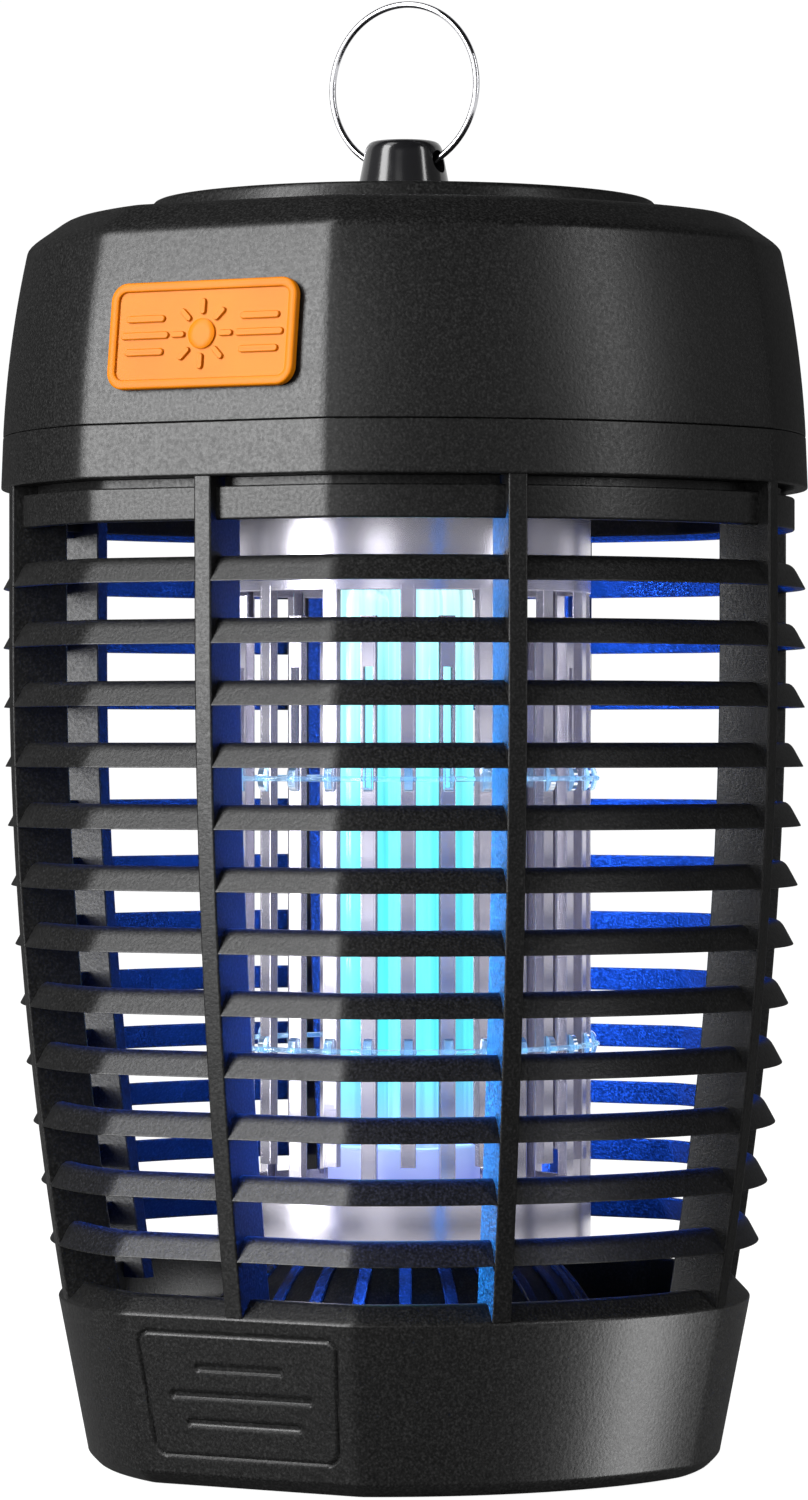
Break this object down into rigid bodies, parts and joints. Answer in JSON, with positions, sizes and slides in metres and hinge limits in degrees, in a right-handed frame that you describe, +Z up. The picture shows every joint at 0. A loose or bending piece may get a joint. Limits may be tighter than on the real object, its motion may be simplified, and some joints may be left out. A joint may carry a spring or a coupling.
{
  "type": "electric bug zapper",
  "caption": "Hanging or table-top electric insect killer: hood with a hanging ring, louvred cage, electrode combs round an ultraviolet lamp, base with an insect tray.",
  "frame": {"origin": "centre of the bounding box's underside, on the face that the base rests on", "axes": "+Z up through the hanging ring; the flat front facet with the badge faces -Y; the hanging ring lies in the XZ plane"},
  "size_m": [0.1652, 0.1574, 0.2916],
  "materials": {
    "black_plastic": "fine spark-eroded grain, satin black",
    "gloss_black": "smooth, glossy",
    "grid_steel": "cold-rolled sheet, slightly brushed",
    "core_steel": "stacked laminations",
    "bright_steel": "bright plated",
    "lamp_glass": "coated tube, lit",
    "white_plastic": "plain moulded",
    "clear_plastic": "clear moulded plastic",
    "badge_orange": "satin moulded",
    "board_laminate": "green solder mask",
    "copper_wire": "enamelled winding"
  },
  "bodies": {
    "zapper_body": {"badge": "badge_orange", "base_housing": "black_plastic", "board_standoff_1": "white_plastic", "board_standoff_2": "white_plastic", "board_standoff_3": "white_plastic", "board_standoff_4": "white_plastic", "cage_collar": "black_plastic", "cage_rib_1": "black_plastic", "cage_rib_2": "black_plastic", "cage_rib_3": "black_plastic", "cage_rib_4": "black_plastic", "cage_rib_5": "black_plastic", "cage_rib_6": "black_plastic", "cage_rib_7": "black_plastic", "cage_rib_8": "black_plastic", "ceiling_plate": "white_plastic", "choke_coil": "copper_wire", "choke_core": "core_steel", "circuit_board": "board_laminate", "cord_gland": "black_plastic", "electrode_stand_1": "white_plastic", "electrode_stand_2": "white_plastic", "electrode_stand_3": "white_plastic", "floor_grille": "black_plastic", "hanger_knob": "gloss_black", "hanger_screw": "bright_steel", "hood_cover": "black_plastic", "hood_screw_1": "bright_steel", "hood_screw_2": "bright_steel", "hood_screw_3": "bright_steel", "hood_screw_4": "bright_steel", "hood_skirt": "black_plastic", "lamp_base": "white_plastic", "lamp_pedestal": "black_plastic", "lamp_socket": "white_plastic", "lamp_tube_front": "lamp_glass", "lamp_tube_rear": "lamp_glass", "louvre_1": "black_plastic", "louvre_10": "black_plastic", "louvre_11": "black_plastic", "louvre_12": "black_plastic", "louvre_2": "black_plastic", "louvre_3": "black_plastic", "louvre_4": "black_plastic", "louvre_5": "black_plastic", "louvre_6": "black_plastic", "louvre_7": "black_plastic", "louvre_8": "black_plastic", "louvre_9": "black_plastic", "lower_electrode": "grid_steel", "lower_retainer_ring": "clear_plastic", "storage_capacitor_1": "gloss_black", "storage_capacitor_2": "gloss_black", "storage_capacitor_3": "gloss_black", "terminal_block": "white_plastic", "upper_electrode": "grid_steel", "upper_retainer_ring": "clear_plastic"},
    "ring": {"hanging_ring": "bright_steel"},
    "tray": {"insect_tray": "black_plastic"}
  },
  "joints": [
    {"name": "ring_swing", "type": "hinge", "parent": "zapper_body", "child": "ring", "pos_m": [0, 0, 0.25916], "axis": [1, 0, 0], "range_deg": [-100, 100]},
    {"name": "tray_drop", "type": "slide", "parent": "zapper_body", "child": "tray", "axis": [0, 0, -1], "range_m": [0, 0.03]}
  ]
}
